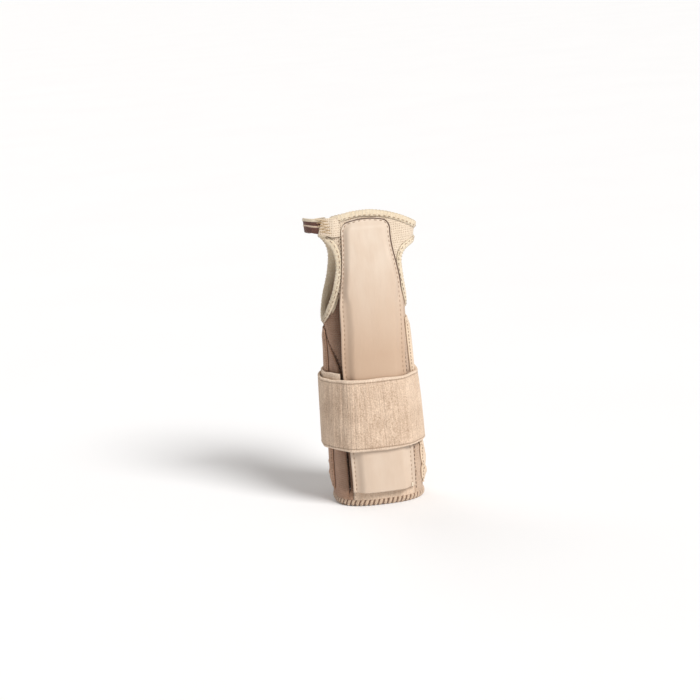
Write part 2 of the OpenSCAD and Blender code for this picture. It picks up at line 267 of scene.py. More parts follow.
def grid_faces(rows, cols, start=0, flip=False):
    j, i = np.meshgrid(np.arange(rows - 1), np.arange(cols - 1), indexing="ij")
    a = (start + j * cols + i).ravel()
    quads = np.stack([a, a + 1, a + cols + 1, a + cols], -1)
    return (quads[:, ::-1] if flip else quads).tolist()


def sheet_solid(
    name, place, middle, thick, size, step, material,
    shape=sleeve, cuts=(False, False), ribs=None, shade=None, crisp=(1, 1),
):
    """Cloth with two faces and rounded edges. place(u, v) gives bearing and height, middle and thick
    give the offset of its middle and its thickness, size is its width and height, step the spacing
    both ways. cuts says which ends, across u, meet the next piece and stay square, crisp how many
    times sharper than the rest those ends are. shade gives its painted shade, from 0 to 1: how far
    its colour is darkened where shade falls."""
    us, vs = stations(size[0], step[0]), stations(size[1], step[1])
    U, V = np.meshgrid(us, vs)
    B, Z = place(U, V)
    half = 0.5 * thick(U, V, B, Z) if callable(thick) else np.full(U.shape, thick / 2)
    soft = np.maximum(half, 0.4)
    from_start = np.where(cuts[0], FAR, U * crisp[0])
    from_end = np.where(cuts[1], FAR, (1 - U) * crisp[1])
    edge = np.minimum(np.minimum(from_start, from_end) * size[0], np.minimum(V, 1 - V) * size[1])
    round_off = np.sqrt(1 - (1 - np.clip(edge / soft, 0, 1)) ** 2)
    mid = middle(U, V, B, Z) if callable(middle) else np.full(U.shape, middle)
    rib = ribs(U, V, B, Z) if ribs else 0
    front = shape(B, Z, mid + (half + rib) * round_off)
    back = shape(B, Z, mid - (half + rib) * round_off)
    rows, cols = U.shape
    count = rows * cols
    strides = np.linalg.norm(np.diff(front, axis=1), axis=2)
    run = np.concatenate([np.zeros((rows, 1)), np.cumsum(strides, 1)], 1)
    run = run - run[:, cols // 2 : cols // 2 + 1]
    # The third coordinate carries the painted shade
    cloth = np.stack([run, Z, shade(B, Z) if shade else np.zeros_like(Z)], -1).reshape(-1, 3)
    index = np.arange(2 * count)
    grid = index[count:].reshape(rows, cols)
    front_grid = index[:count].reshape(rows, cols)
    rims = [(grid[0], front_grid[0]), (grid[-1], front_grid[-1])]
    rims += [] if cuts[0] else [(grid[:, 0], front_grid[:, 0])]
    rims += [] if cuts[1] else [(grid[:, -1], front_grid[:, -1])]
    for of_back, of_front in rims:
        index[of_back] = of_front
    faces = grid_faces(rows, cols) + grid_faces(rows, cols, count, flip=True)
    sharp = []
    for cut, col, turn in ((cuts[0], 0, 1), (cuts[1], cols - 1, -1)):
        if cut:
            f, b = front_grid[:, col], grid[:, col]
            wall = np.stack([f[:-1], f[1:], b[1:], b[:-1]], -1)[:, ::turn]
            faces += wall.tolist()
            sharp += [(int(p), int(q)) for p, q in zip(f[:-1], f[1:])]
            sharp += [(int(index[p]), int(index[q])) for p, q in zip(b[:-1], b[1:])]
    faces = index[np.array(faces)]
    points = np.concatenate([front.reshape(-1, 3), back.reshape(-1, 3)])
    used, compact = np.unique(faces, return_inverse=True)
    renumber = {int(old): new for new, old in enumerate(used)}
    sharp = [(renumber[p], renumber[q]) for p, q in sharp if p in renumber and q in renumber]
    clean = []
    for face in compact.reshape(faces.shape).tolist():
        short = list(dict.fromkeys(face))
        if len(short) > 2:
            clean.append(short)
    return make_object(name, points[used], clean, material, np.concatenate([cloth, cloth])[used], sharp)


def surface_frame(bearing, z):
    """Unit steps round, up and out of the surface, and how far a degree and a millimetre go."""
    across = (limb(bearing + 1, z, 0) - limb(bearing - 1, z, 0)) / 2
    up = (limb(bearing, z + 1, 0) - limb(bearing, z - 1, 0)) / 2
    out = np.cross(across, up)
    return across, up, out / np.linalg.norm(out, axis=-1, keepdims=True)


def beside(path, t, w, d, shape=sleeve):
    """Points w to the cloth's side of an edge and d out of it. path(t) gives bearing and height;
    the cloth lies to the right of a growing t, as seen from outside."""
    b, z = path(t)
    b0, z0 = path(t - 0.5)
    b1, z1 = path(t + 0.5)
    run = limb(b1, z1, 0) - limb(b0, z0, 0)
    across, up, out = surface_frame(b, z)
    side = np.cross(run, out)
    side = side / np.linalg.norm(side, axis=-1, keepdims=True)
    db = np.sum(side * across, -1) / np.sum(across * across, -1)
    dz = np.sum(side * up, -1) / np.sum(up * up, -1)
    return shape(b + w * db, z + w * dz, d)


def path_length(path, ends):
    t = np.linspace(ends[0], ends[1], 400)
    p = limb(*path(t), 0.0)
    return t, np.concatenate([[0], np.cumsum(np.linalg.norm(np.diff(p, axis=0), axis=1))])


def evenly(path, ends, step, margin=0.0):
    """Values of t at even distances along a path, and the change of t for a millimetre there."""
    t, run = path_length(path, ends)
    count = max(int((run[-1] - 2 * margin) / step), 1)
    places = np.linspace(margin, run[-1] - margin, count + 1)
    at = np.interp(places, run, t)
    return at, (np.interp(places + 0.5, run, t) - np.interp(places - 0.5, run, t))


def swept_band(name, path, ends, section, step, material, looped=False, shape=sleeve, swell=None):
    """A closed section, given as (w, d) points, carried along an edge."""
    t, run = path_length(path, ends)
    count = int(run[-1] / step)
    at = np.interp(np.linspace(0, run[-1], count + 1), run, t)
    if looped:
        at = at[:-1]
    W, D = np.array([s[0] for s in section]), np.array([s[1] for s in section])
    T = at[:, None] + 0 * W[None]
    grow = swell(np.linspace(0, run[-1], len(at)))[:, None] if swell else 0
    centre_w, centre_d = W.mean(), D.mean()
    w = W + (W - centre_w) * grow
    d = D + (D - centre_d) * grow
    if not looped:
        ends_in = np.minimum(np.arange(len(at)), len(at) - 1 - np.arange(len(at)))
        close = np.clip((ends_in + 0.6) / 2.6, 0, 1)[:, None] ** 0.5
        w, d = centre_w + (w - centre_w) * close, centre_d + (d - centre_d) * close
    points = beside(path, T, w, d, shape)
    rows, cols = T.shape
    j, i = np.meshgrid(np.arange(rows if looped else rows - 1), np.arange(cols), indexing="ij")
    a, b = j * cols + i, j * cols + (i + 1) % cols
    c, e = ((j + 1) % rows) * cols + (i + 1) % cols, ((j + 1) % rows) * cols + i
    faces = np.stack([a, b, c, e], -1).reshape(-1, 4).tolist()
    if not looped:
        faces += [list(range(cols))[::-1], [(rows - 1) * cols + k for k in range(cols)]]
    around = np.concatenate([[0], np.cumsum(np.hypot(np.diff(W), np.diff(D)))])
    length = np.linspace(0, run[-1], rows)
    cloth = np.stack([length[:, None] + 0 * W, around[None] + 0 * T, 0 * T], -1).reshape(-1, 3)
    return make_object(name, points.reshape(-1, 3), faces, material, cloth)


# A thread's radius at its end, as a share of its radius; how high a lock stitch stands, and its points
THREAD_END = 0.45
STITCH_RISE, STITCH_POINTS = 0.22, 6


def tubes(name, paths, ups, radius, material, flat=1.0, sides=6):
    """Threads: one short tube for each path. ups are the surface's outward directions there, and
    flat is how thick the thread is across them, as a share of its width."""
    paths, ups = np.asarray(paths, float), np.asarray(ups, float)
    n, k, _ = paths.shape
    run = np.gradient(paths, axis=1)
    run /= np.linalg.norm(run, axis=-1, keepdims=True) + 1e-9
    side = np.cross(run, ups)
    side /= np.linalg.norm(side, axis=-1, keepdims=True) + 1e-9
    rise = np.cross(side, run)
    share = np.abs(np.linspace(-1, 1, k))
    r = radius * np.sqrt(np.clip(1 - (1 - THREAD_END**2) * share**6, 0, 1))[None, :, None, None]
    a = (np.arange(sides) + 0.5) * TAU / sides
    ring = side[:, :, None] * np.cos(a)[:, None] + rise[:, :, None] * np.sin(a)[:, None] * flat
    points = (paths[:, :, None] + ring * r).reshape(-1, 3)
    m, j, i = np.meshgrid(np.arange(n), np.arange(k - 1), np.arange(sides), indexing="ij")
    base, nxt = (m * k + j) * sides, (i + 1) % sides
    faces = np.stack([base + i, base + nxt, base + sides + nxt, base + sides + i], -1).reshape(-1, 4).tolist()
    for tube in range(n):
        first, last = tube * k * sides, (tube * k + k - 1) * sides
        faces.append([first + s for s in range(sides)][::-1])
        faces.append([last + s for s in range(sides)])
    return make_object(name, points, faces, material)


def dashes(path, ends, pitch, length, d, w=0.0, shape=sleeve, margin=1.0):
    """Lock stitches along a line: each is an arch of thread that dips into the cloth at both ends."""
    at, per_mm = evenly(path, ends, pitch, margin)
    share = np.linspace(-0.5, 0.5, STITCH_POINTS)
    T = at[:, None] + per_mm[:, None] * length * share
    arch = STITCH_RISE * (1 - (2 * share) ** 4) - 0.18 * (2 * share) ** 8
    b, z = path(T)
    lift = d(b, z) if callable(d) else d
    ups = surface_frame(b, z)[2]
    return beside(path, T, w + 0 * T, lift + arch, shape), ups


def wraps(path, ends, pitch, section, lean, shape=sleeve, margin=1.0):
    """Overlock thread: each turn passes over the edge along a section of (w, d) points, leaning forward."""
    at, per_mm = evenly(path, ends, pitch, margin)
    W, D = np.array([s[0] for s in section]), np.array([s[1] for s in section])
    share = np.linspace(-0.5, 0.5, len(section))
    T = at[:, None] + per_mm[:, None] * lean * share
    points = beside(path, T, W + 0 * T, D + 0 * T, shape)
    b, z = path(at)
    out = surface_frame(b, z)[2]
    across = beside(path, at, 1.0, 0.0) - beside(path, at, 0.0, 0.0)
    dw, dd = np.gradient(W), np.gradient(D)
    size = np.hypot(dw, dd)
    ups = out[:, None] * (-dw / size)[None, :, None] + across[:, None] * (dd / size)[None, :, None]
    return points, ups


def joined(*groups):
    return np.concatenate([g[0] for g in groups]), np.concatenate([g[1] for g in groups])


# ---------------------------------------------------------------- materials
def linear(code):
    """Linear colour of a hex code."""
    parts = [int(code[i : i + 2], 16) / 255 for i in (0, 2, 4)]
    return tuple(c / 12.92 if c <= 0.04045 else ((c + 0.055) / 1.055) ** 2.4 for c in parts) + (1.0,)


def add(tree, kind, inputs=None, **settings):
    node = tree.nodes.new(kind)
    for key, value in settings.items():
        setattr(node, key, value)
    for key, value in (inputs or {}).items():
        if isinstance(value, bpy.types.NodeSocket):
            tree.links.new(value, node.inputs[key])
        else:
            node.inputs[key].default_value = value
    return node


def blank(name, roughness, **sockets):
    material = bpy.data.materials.new(name)
    material.use_nodes = True
    shader = material.node_tree.nodes["Principled BSDF"]
    shader.inputs["Roughness"].default_value = roughness
    for key, value in sockets.items():
        shader.inputs[key.replace("_", " ")].default_value = value
    return material, material.node_tree, shader


def scaled(tree, vector, factors):
    return add(tree, "ShaderNodeVectorMath", {0: vector, 1: factors}, operation="MULTIPLY").outputs[0]


def millimetres(tree):
    """The object's own coordinates, in millimetres."""
    place = add(tree, "ShaderNodeTexCoord").outputs["Object"]
    return add(tree, "ShaderNodeVectorMath", {0: place, "Scale": 1 / MM}, operation="SCALE").outputs[0]


def along_cloth(tree, stretch):
    """The cloth's own coordinates: millimetres along it, height, and painted shade, each times a factor."""
    return scaled(tree, add(tree, "ShaderNodeAttribute", attribute_name="cloth").outputs["Vector"], stretch)


def axis(tree, vector, name):
    return add(tree, "ShaderNodeSeparateXYZ", {0: vector}).outputs[name]


def noise(tree, vector, scale, detail=3.0, rough=0.55):
    inputs = {"Vector": vector, "Scale": scale, "Detail": detail, "Roughness": rough}
    return add(tree, "ShaderNodeTexNoise", inputs).outputs["Fac"]


def cells(tree, vector, scale, randomness=1.0):
    """Distance from the nearest of a field of points."""
    inputs = {"Vector": vector, "Scale": scale, "Randomness": randomness}
    return add(tree, "ShaderNodeTexVoronoi", inputs, feature="F1").outputs["Distance"]


def ramp(tree, value, low, high, start=0.0, end=1.0):
    """value from low..high brought to start..end."""
    inputs = {"Value": value, "From Min": low, "From Max": high, "To Min": start, "To Max": end}
    return add(tree, "ShaderNodeMapRange", inputs).outputs[0]


def tint(tree, share, first, second):
    return add(tree, "ShaderNodeMix", {"Factor": share, 6: first, 7: second}, data_type="RGBA").outputs[2]


def math_node(tree, operation, a, b):
    return add(tree, "ShaderNodeMath", {0: a, 1: b}, operation=operation).outputs[0]


def bump(tree, height, distance, strength=1.0, normal=None):
    inputs = {"Height": height, "Distance": distance * MM, "Strength": strength}
    if normal:
        inputs["Normal"] = normal
    return add(tree, "ShaderNodeBump", inputs).outputs[0]


def waves(tree, vector, pitch, direction="X", distort=0.0, detail_scale=1.0):
    """Ribs at a pitch in millimetres, from 0 to 1, along one of the vector's axes."""
    inputs = {
        "Vector": vector, "Scale": 1 / pitch * TAU / 20, "Distortion": distort, "Detail Scale": detail_scale,
    }
    return add(tree, "ShaderNodeTexWave", inputs, bands_direction=direction).outputs["Fac"]


def wire(material, colour, normal, roughness=None):
    """Lead colour, normal and, where it varies, roughness to the material's shader."""
    tree = material.node_tree
    inputs = tree.nodes["Principled BSDF"].inputs
    tree.links.new(colour, inputs["Base Color"])
    tree.links.new(normal, inputs["Normal"])
    if roughness:
        tree.links.new(roughness, inputs["Roughness"])
    return material


CLOTH_GLOSS = 0.25
# Dark brown that painted shade darkens cloth towards, in folds and on the shaded thumb side
PAINTED_SHADE_COLOUR = linear("4d382b")


def woven(name, light, dark, roughness=0.9, warp=0.9, weft=0.9, depth=0.12, patch=0.25, sheen=0.25):
    """Woven or knitted cloth: threads both ways, uneven dye, loose fibre, and painted shade: a darker colour
    in folds and on shaded sides.
    """
    material, tree, shader = blank(name, roughness, Sheen_Weight=sheen, Sheen_Roughness=0.6)
    shader.inputs["Specular IOR Level"].default_value = CLOTH_GLOSS
    cloth, mm = along_cloth(tree, (1, 1, 1)), millimetres(tree)
    ups, rounds = waves(tree, cloth, warp, "X", 0.6, 2.0), waves(tree, cloth, weft, "Y", 0.6, 2.0)
    threads = math_node(tree, "MULTIPLY", ups, rounds)
    cloud = noise(tree, mm, 0.09, 4.0)
    grain = noise(tree, mm, 1.6, 4.0, 0.7)
    dye = ramp(tree, cloud, 0.3, 0.7, -patch, patch)
    share = math_node(tree, "ADD", dye, ramp(tree, grain, 0.25, 0.75, 0.1, 0.9))
    share = math_node(tree, "MULTIPLY", share, ramp(tree, threads, 0.0, 0.6, 1.25, 0.7))
    # Painted shade: the cloth's shade value darkens its colour in folds and on shaded sides
    fold = ramp(tree, axis(tree, cloth, "Z"), 0.1, 1.0, 0.0, 0.6)
    colour = tint(tree, fold, tint(tree, share, light, dark), PAINTED_SHADE_COLOUR)
    rough = ramp(tree, grain, 0.3, 0.7, roughness - 0.08, min(roughness + 0.06, 1.0))
    normal = bump(tree, grain, 0.12, 0.8, bump(tree, threads, depth))
    return wire(material, colour, normal, rough)


def leatherette():
    """Brushed coated cloth of the pocket: a fine pebble, soft creases, and painted light and shade that
    varies up it.
    """
    material, tree, shader = blank("leatherette", 0.5, Sheen_Weight=0.12, Sheen_Roughness=0.45)
    shader.inputs["Specular IOR Level"].default_value = 0.35
    mm = millimetres(tree)
    pebble = cells(tree, mm, 1.5)
    fine = noise(tree, mm, 2.4, 4.0, 0.65)
    crease = noise(tree, along_cloth(tree, (0.09, 0.022, 0.0)), 1.0, 3.0)
    cloud = noise(tree, mm, 0.035, 3.0)
    up = axis(tree, mm, "Z")
    # Painted light and shade: paler up the palm part from 112 mm, which faces the light, and down from 92 mm;
    # darkest between
    pale = math_node(tree, "MAXIMUM", ramp(tree, up, 112.0, 178.0), ramp(tree, up, 92.0, 45.0, 0.0, 0.75))
    base = tint(tree, pale, linear("bca088"), linear("d9c9b8"))
    uneven = ramp(tree, cloud, 0.35, 0.65, 0.0, 0.3)
    uneven = math_node(tree, "ADD", uneven, ramp(tree, crease, 0.35, 0.7, 0.0, 0.3))
    normal = bump(tree, pebble, 0.05, 0.5)
    normal = bump(tree, fine, 0.05, 0.6, normal)
    normal = bump(tree, crease, 1.2, 0.5, normal)
    rough = ramp(tree, fine, 0.3, 0.7, 0.44, 0.62)
    return wire(material, tint(tree, uneven, base, linear("c4aa93")), normal, rough)


def laminate():
    """Foam-backed cream face cloth, with the pinholes of its knit."""
    material, tree, shader = blank("laminate", 0.82, Sheen_Weight=0.25, Sheen_Roughness=0.5)
    shader.inputs["Specular IOR Level"].default_value = CLOTH_GLOSS
    mm = millimetres(tree)
    pit = ramp(tree, cells(tree, along_cloth(tree, (1, 1, 1)), 0.62, 0.2), 0.16, 0.34)
    grain = noise(tree, mm, 1.8, 4.0, 0.65)
    cloud = noise(tree, mm, 0.07, 3.0)
    share = ramp(tree, cloud, 0.3, 0.7, 0.0, 0.5)
    share = math_node(tree, "ADD", share, ramp(tree, grain, 0.3, 0.7, 0.0, 0.4))
    base = tint(tree, share, linear("e0d0bc"), linear("d0bda6"))
    normal = bump(tree, grain, 0.16, 0.8, bump(tree, pit, 0.3, 0.8))
    rough = ramp(tree, grain, 0.3, 0.7, 0.76, 0.9)
    return wire(material, tint(tree, pit, linear("bfa992"), base), normal, rough)


def loop_elastic():
    """Unbroken loop elastic of the strap: brushed loops over cross ribs, and a line at each selvedge."""
    material, tree, shader = blank("loop_elastic", 0.95, Sheen_Weight=0.55, Sheen_Roughness=0.55)
    shader.inputs["Specular IOR Level"].default_value = 0.2
    shader.inputs["Sheen Tint"].default_value = linear("f2e2cf")
    mm = millimetres(tree)
    streak = noise(tree, along_cloth(tree, (1.0, 0.14, 1.0)), 0.9, 4.0, 0.6)
    fluff = noise(tree, mm, 1.1, 6.0, 0.75)
    cloud = noise(tree, mm, 0.06, 3.0)
    tone = ramp(tree, fluff, 0.36, 0.64, 0.06, 0.66)
    tone = math_node(tree, "ADD", tone, ramp(tree, streak, 0.3, 0.7, 0.05, 0.26))
    tone = math_node(tree, "ADD", tone, ramp(tree, cloud, 0.3, 0.7, -0.12, 0.18))
    base = tint(tree, tone, linear("987960"), linear("efd8c1"))
    up = axis(tree, along_cloth(tree, (1, 1, 1)), "Y")
    from_middle = math_node(tree, "SUBTRACT", up, (STRAP_LOW_Z + STRAP_TOP_Z) / 2)
    aside = math_node(tree, "ABSOLUTE", from_middle, 0.0)
    half = (STRAP_TOP_Z - STRAP_LOW_Z) / 2
    line = ramp(tree, aside, half - 2.9, half - 2.2)
    line = math_node(tree, "MULTIPLY", line, ramp(tree, aside, half - 1.5, half - 2.0))
    base = tint(tree, math_node(tree, "MULTIPLY", line, 0.6), base, linear("7d6350"))
    base = tint(tree, ramp(tree, aside, half - 1.7, half - 1.2, 0.0, 0.35), base, linear("f0dfcc"))
    normal = bump(tree, streak, 0.3, 0.6)
    normal = bump(tree, cells(tree, mm, 0.75), 0.35, 0.5, normal)
    normal = bump(tree, fluff, 0.5, 0.8, normal)
    return wire(material, base, normal, ramp(tree, fluff, 0.3, 0.7, 0.88, 1.0))


def thread(name, light, dark):
    """Spun sewing thread, with its twist."""
    material, tree, _ = blank(name, 0.7, Sheen_Weight=0.3)
    twist = waves(tree, millimetres(tree), 0.5, "DIAGONAL", 2.0, 3.0)
    return wire(material, tint(tree, twist, dark, light), bump(tree, twist, 0.08))


def foam():
    material, tree, _ = blank("foam", 0.95, Sheen_Weight=0.1)
    pores = cells(tree, millimetres(tree), 1.3)
    colour = tint(tree, ramp(tree, pores, 0.1, 0.6), linear("8b8378"), linear("c3bbae"))
    return wire(material, colour, bump(tree, pores, 0.4))


def metal(name, colour, roughness, brush):
    """Rolled metal, brushed along its length."""
    material, tree, _ = blank(name, roughness, Metallic=1.0)
    brushed = noise(tree, scaled(tree, millimetres(tree), (6.0, 6.0, 0.08)), 1.0, 5.0, 0.6)
    rough = ramp(tree, brushed, 0.3, 0.7, roughness - brush, roughness + brush)
    return wire(material, tint(tree, brushed, linear("8d8f92"), colour), bump(tree, brushed, 0.02), rough)


def vinyl():
    material, tree, _ = blank("vinyl", 0.35, Coat_Weight=0.3)
    flow = noise(tree, millimetres(tree), 0.5, 3.0)
    return wire(material, tint(tree, flow, linear("e9e6de"), linear("cfcbc0")), bump(tree, flow, 0.15, 0.5))


def cloth_kinds():
    """Woven materials: two colours, roughness, pitch of warp and weft, depth, patchiness and sheen."""
    kinds = {
        # painted shade: the thumb side's elastic, darker and warmer than the same cloth on the other side
        "elastic": ("d9b297", "93694f", 0.88, 0.9, 1.6, 0.22, 0.2, 0.2),
        "elastic_front": ("f0dac4", "c4a78d", 0.88, 1.3, 0.7, 0.2, 0.2, 0.2),
        # painted light: the little finger side's elastic, lighter than the thumb side's
        "elastic_ulnar": ("dac0a8", "a48870", 0.88, 0.9, 1.6, 0.22, 0.2, 0.2),
        # painted light: the lighter cloth of the casing on the little finger side
        "casing": ("f0dcc3", "ccb297", 0.88, 1.3, 0.7, 0.2, 0.2, 0.2),
        "binding": ("efe3cd", "cdb899", 0.85, 0.8, 0.6, 0.12, 0.15, 0.3),
        "hem": ("93755f", "5d4331", 0.85, 0.8, 0.6, 0.12, 0.15, 0.3),
        # partly painted shade: the webbing is brown elastic, drawn darker still for the shade at the thumb
        # web
        "webbing": ("845646", "3c231c", 0.8, 1.0, 1.2, 0.3, 0.2, 0.2),
        "hook": ("efe8da", "c2b8a4", 0.5, 1.3, 1.3, 0.6, 0.1, 0.1),
    }
    return {name: woven(name, linear(row[0]), linear(row[1]), *row[2:]) for name, row in kinds.items()}


THREADS = {
    "hem_thread": ("e2cbb2", "9b7d66"),
    "cream_thread": ("f3ead9", "cbb99f"),
    "beige_thread": ("b3957b", "80664f"),
    "gold_thread": ("d8bf94", "99744c"),
    "dark_thread": ("765a49", "47352b"),
}
MATERIALS = {
    **cloth_kinds(),
    **{name: thread(name, linear(light), linear(dark)) for name, (light, dark) in THREADS.items()},
    "laminate": laminate(),
    "pocket": leatherette(),
    "strap_loop": loop_elastic(),
    "foam": foam(),
    "stay_metal": metal("stay_metal", linear("dfe1e4"), 0.34, 0.08),
    "spring_metal": metal("spring_metal", linear("a3a8b0"), 0.28, 0.08),
    "tip_vinyl": vinyl(),
}


def finish_piece(piece, body, slot, *nodes):
    if body:
        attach(piece, body)
    if nodes:
        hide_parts(*nodes)
        piece.name = piece.name.split(".")[0] + "_cloth"
    return piece


# ---------------------------------------------------------------- sleeve panels
PANEL_LOW_Z = HEM_H - 1.2
LAMINATE_LOW_Z = 156.0


def ribs_up(pitch, depth):
    """Ribs that run up the limb, from the cloth's own bearing."""
    return lambda U, V, B, Z: depth * np.cos(TAU * np.radians(B) * 29 / pitch)


def ribs_round(pitch, depth):
    return lambda U, V, B, Z: depth * np.cos(TAU * (Z + 0.04 * relief(B, Z)) / pitch)


def front_ribs(U, V, B, Z):
    """The ribs run round the limb beside the pocket's thumb side edge and up the limb elsewhere."""
    turn = ease((bearing_at(pocket_mid(Z) - pocket_half(Z), Z) - B + 3) / 3)
    return mix(ribs_up(1.35, 0.13)(U, V, B, Z), ribs_round(1.6, 0.17)(U, V, B, Z), turn)


def front_shade(B, Z):
    """Painted shade: a darker colour in the fold, and beside the pocket's thumb side edge below the strap,
    where shade falls.
    """
    away = bearing_at(pocket_mid(Z) - pocket_half(Z), Z) - B
    return np.maximum(groove_share(B, Z), 0.75 * ease(away / 2) * (1 - ease((Z - 60) / 30)))


def cuff_shade(B, Z):
    """Painted shade: a darker colour in the fold and on the cuff's thumb side, where shade falls."""
    return np.maximum(groove_share(B, Z), 0.4 * (1 - ease((Z - 55) / 30)) + 0 * B)


def palm_place(low, high_of):
    def place(U, V):
        top = high_of(mix(-RADIAL_CORNER, ULNAR_CORNER, U))
        Z = mix(low, top, V)
        return mix(-panel_arc(THUMB, RADIAL_CORNER, Z), panel_arc(ULNAR, ULNAR_CORNER, Z), U), Z

    return place


def dorsal_place(U, V):
    Z = mix(PANEL_LOW_Z, top_edge(180 + mix(-ULNAR_CORNER, RADIAL_CORNER, U)), V)
    return 180 + mix(-panel_arc(ULNAR, ULNAR_CORNER, Z), panel_arc(THUMB, RADIAL_CORNER, Z), U), Z


def gusset_seam(z):
    return mix(bearing_at(SEAM_X, z) + 6, 90, ease((z - 98) / 36))


def radial_gusset_place(U, V):
    Z = mix(PANEL_LOW_Z, rim_z(THUMB, -mix(90, 52, U), -1), V)
    return -mix(gusset_seam(Z), bearing_at(SEAM_X, Z), U), Z


def radial_side_place(U, V):
    Z = mix(PANEL_LOW_Z, rim_z(THUMB, -mix(128, 90, U), -1), V)
    return -mix(180 - bearing_at(SEAM_X, Z), gusset_seam(Z), U), Z


def ulnar_gusset_place(U, V):
    across = (1 - np.cos(np.pi * U)) / 2
    Z = mix(PANEL_LOW_Z, rim_z(ULNAR, mix(58.5, 121.5, across), -1), V)
    inner = bearing_at(SEAM_X, Z)
    return mix(inner, 180 - inner, across), Z


def ulnar_band_place(U, V):
    B = mix(ULNAR_CORNER - 0.2, 180 - ULNAR_CORNER, U)
    return B, mix(rim_z(ULNAR, B, 1), top_edge(B), V)


MID = -CLOTH_T / 2


def panel(name, place, size, step, kind, slot, node=None, **settings):
    piece = sheet_solid(name, place, MID, CLOTH_T, size, step, MATERIALS[kind], **settings)
    return finish_piece(piece, "brace", slot, node or name)


palm_upper = panel(
    "palm_panel", palm_place(LAMINATE_LOW_Z, top_edge), (62, 56), (1.2, 1.2), "laminate", "laminate",
    crisp=(1, 5),
)
palm_lower = panel(
    "forearm_front_panel", palm_place(PANEL_LOW_Z, lambda b: LAMINATE_LOW_Z + 0 * b), (47, 151), (0.36, 0.42),
    "elastic_front", "elastic", "palm_panel", shape=sunk, ribs=front_ribs, shade=front_shade,
)
dorsal = panel(
    "dorsal_panel", dorsal_place, (58, 196), (0.6, 1.6), "elastic_front", "elastic", ribs=ribs_up(2.4, 0.14)
)
# The thumb side's panels take the darker elastic, as painted shade
radial_gusset = panel(
    "radial_gusset", radial_gusset_place, (16, 148), (0.5, 0.4), "elastic", "elastic",
    shape=sunk, ribs=ribs_round(1.6, 0.16), shade=cuff_shade,
)
radial_side = panel(
    "radial_side_panel", radial_side_place, (44, 144), (1.1, 0.36), "elastic", "elastic",
    ribs=ribs_round(1.6, 0.14), shade=cuff_shade,
)
# The little finger side's gusset takes the lighter elastic, as painted light
ulnar_gusset = panel(
    "ulnar_gusset", ulnar_gusset_place, (48, 150), (1.2, 0.36), "elastic_ulnar", "elastic",
    ribs=ribs_round(1.6, 0.14),
)
ulnar_band = panel("ulnar_band", ulnar_band_place, (34, 18), (1.0, 1.0), "laminate", "laminate", crisp=(5, 5))


# ---------------------------------------------------------------- web strap through the thumb web
# Bearings of its ends, heights of its edges, and how far it widens, dips and passes over the back panel
WEB_ENDS = (-128.0, -50.0)
WEB_Z = (199.2, 208.8)
WEB_W, WEB_LENGTH, WEB_T = 9.7, 62, 1.2
WEB_FLARE, WEB_DIP, WEB_OVER = 1.3, 3.8, 1.15


def web_place(U, V):
    B = mix(*WEB_ENDS, U)
    low_z = WEB_Z[0] - WEB_FLARE * ease((B + 82) / 20)
    return B, mix(low_z, WEB_Z[1], V) - WEB_DIP * ease((-B - 84) / 30)


def web_lift(b):
    return 1.0 + WEB_OVER * ease((-b - 104) / 8) + 0.14 * np.sin(b * 0.5)


web = sheet_solid(
    "web_strap", web_place, lambda U, V, B, Z: web_lift(B), WEB_T, (WEB_LENGTH, WEB_W), (0.5, 0.22),
    MATERIALS["webbing"], ribs=lambda U, V, B, Z: 0.12 * np.cos(TAU * B / 1.9),
)
finish_piece(web, "brace", "webbing", "web_strap")


def web_strip(name, low_v, high_v, kind, step):
    """A raised light stripe along the web strap, between two shares of its width."""
    strip = sheet_solid(
        name, lambda U, V: web_place(U, mix(low_v, high_v, V)), lambda U, V, B, Z: web_lift(B) + 0.5, 1.0,
        (WEB_LENGTH, WEB_W * (high_v - low_v)), (0.5, step), MATERIALS[kind],
        ribs=lambda U, V, B, Z: 0.08 * np.cos(TAU * B / 2.2),
    )
    return finish_piece(strip, "brace", "binding")


web_trim = [
    web_strip("web_top_tape", 0.80, 1.03, "binding", 0.3),
    web_strip("web_rib", 0.42, 0.55, "elastic_front", 0.2),
]


# ---------------------------------------------------------------- stay pocket
COVER_T = 1.0


def pocket_place(U, V):
    Z = mix(POCKET_LOW_Z, POCKET_TOP_Z, V)
    return bearing_at(pocket_mid(Z) + pocket_half(Z) * (2 * U - 1), Z), Z


def pocket_share(B, Z):
    """From -1 at the pocket's thumb side edge to 1 at its other edge."""
    p = limb(B, Z, 0)[..., 0] - middle(Z)
    return (p - pocket_mid(Z)) / np.maximum(pocket_half(Z), 1)


def pocket_rise(s, z):
    """0 on the stitched margin, 1 where the cover stands over the stay."""
    margin = mix(stitch_in(z) + 0.9, 0.9, ease((z - 146) / 12))
    half = np.maximum(pocket_half(z), 1)
    side = ease((half * (1 - np.abs(s)) - margin) / 6.0)
    end = ease((POCKET_TOP_Z - margin - z) / 6.0)
    return side * end


def margin_pad(z):
    """Turned-in cloth that thickens the cover's sewn margin, less so in the palm."""
    return mix(1.3, 0.35, ease((z - 146) / 12))


def cover_low(s, z):
    return 0.35 + 3.3 * pocket_rise(s, z)


def cover_top(B, Z):
    s = pocket_share(B, Z)
    return cover_low(s, Z) + COVER_T + margin_pad(Z) * (1 - pocket_rise(s, Z)) - groove(s, Z)


def stitch_in(z):
    """How far the pocket's stitching is from its edge."""
    return mix(2.4, 1.4, ease((z - 148) / 14))


def groove(s, z):
    """The dent that the stitching pulls into the cover."""
    inset = np.maximum(pocket_half(z), 1) * (1 - np.abs(s))
    line = np.minimum(np.abs(inset - stitch_in(z)), np.abs(POCKET_TOP_Z - z - 1.4) + 40 * (np.abs(s) > 0.75))
    return 0.3 * np.exp(-((line / 0.5) ** 2))


